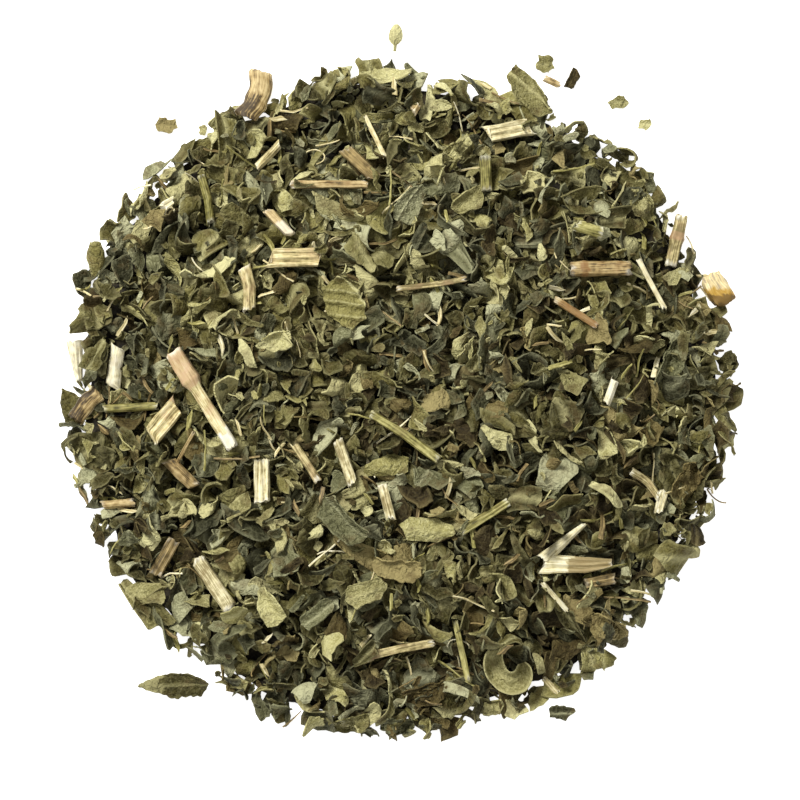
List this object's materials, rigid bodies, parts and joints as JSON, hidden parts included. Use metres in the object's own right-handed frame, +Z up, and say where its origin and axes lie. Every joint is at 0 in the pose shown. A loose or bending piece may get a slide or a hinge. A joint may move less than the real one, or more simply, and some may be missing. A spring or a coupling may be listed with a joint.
{
  "type": "heap of dried cut mint",
  "caption": "Round low heap of dried mint, cut and sifted: curled leaf flakes packed into a bed, with cut stem pieces lying in its surface.",
  "frame": {"origin": "on the surface that the heap rests on, under the middle of the bed", "axes": "+Z up, out of the heap; +X to the right and +Y to the top of the picture seen from above"},
  "size_m": [0.0972, 0.1049, 0.0103],
  "materials": {
    "packed_leaf": "matte",
    "leaf_olive": "matte",
    "leaf_grey_green": "matte",
    "leaf_yellow_green": "matte",
    "leaf_brown": "matte",
    "stem_straw": "matte",
    "stem_cream": "matte",
    "stem_tan": "matte",
    "stem_green": "matte",
    "stem_brown": "matte",
    "stem_pith": "matte"
  },
  "bodies": {
    "root": {"leaf_bed": "packed_leaf", "stem_round_01": "stem_straw", "stem_split_02": "stem_straw", "stem_split_03": "stem_cream", "stem_round_04": "stem_cream", "stem_split_05": "stem_brown", "stem_split_06": "stem_straw", "stem_sliver_07": "stem_straw", "stem_round_08": "stem_tan", "stem_round_09": "stem_straw", "stem_split_10": "stem_cream", "stem_round_11": "stem_green", "stem_split_12": "stem_brown", "stem_round_13": "stem_tan", "stem_round_14": "stem_tan", "stem_sliver_15": "stem_straw", "stem_sliver_16": "stem_green", "stem_bark_17": "stem_tan", "stem_forked_18": "stem_cream", "stem_round_19": "stem_green", "stem_round_20": "stem_straw", "stem_round_21": "stem_straw", "stem_split_22": "stem_cream", "stem_split_23": "stem_cream", "stem_split_24": "stem_green", "stem_sliver_25": "stem_cream", "stem_sliver_26": "stem_cream", "stem_bark_27": "stem_tan", "stem_sliver_28": "stem_green", "stem_sliver_29": "stem_tan", "stem_sliver_30": "stem_tan", "stem_round_31": "stem_tan", "stem_round_32": "stem_cream", "stem_sliver_33": "stem_cream", "stem_round_34": "stem_straw", "stem_round_35": "stem_green", "stem_sliver_36": "stem_straw", "stem_pith_37": "stem_pith", "leaf_blade_01": "leaf_grey_green", "leaf_blade_02": "leaf_grey_green", "leaf_blade_03": "leaf_olive", "leaf_blade_04": "leaf_yellow_green", "leaf_blade_05": "leaf_brown", "leaf_curled_06": "leaf_olive", "leaf_blade_07": "leaf_brown", "leaf_blade_08": "leaf_yellow_green", "leaf_blade_09": "leaf_grey_green", "leaf_blade_10": "leaf_olive", "leaf_blade_11": "leaf_olive", "leaf_blade_12": "leaf_yellow_green", "leaf_blade_13": "leaf_brown", "leaf_blade_14": "leaf_brown", "leaf_blade_15": "leaf_yellow_green", "crumb_01": "leaf_brown", "crumb_02": "leaf_olive", "crumb_03": "leaf_olive", "crumb_04": "leaf_yellow_green", "crumb_05": "leaf_grey_green", "flower_bud": "leaf_yellow_green"}
  },
  "joints": []
}
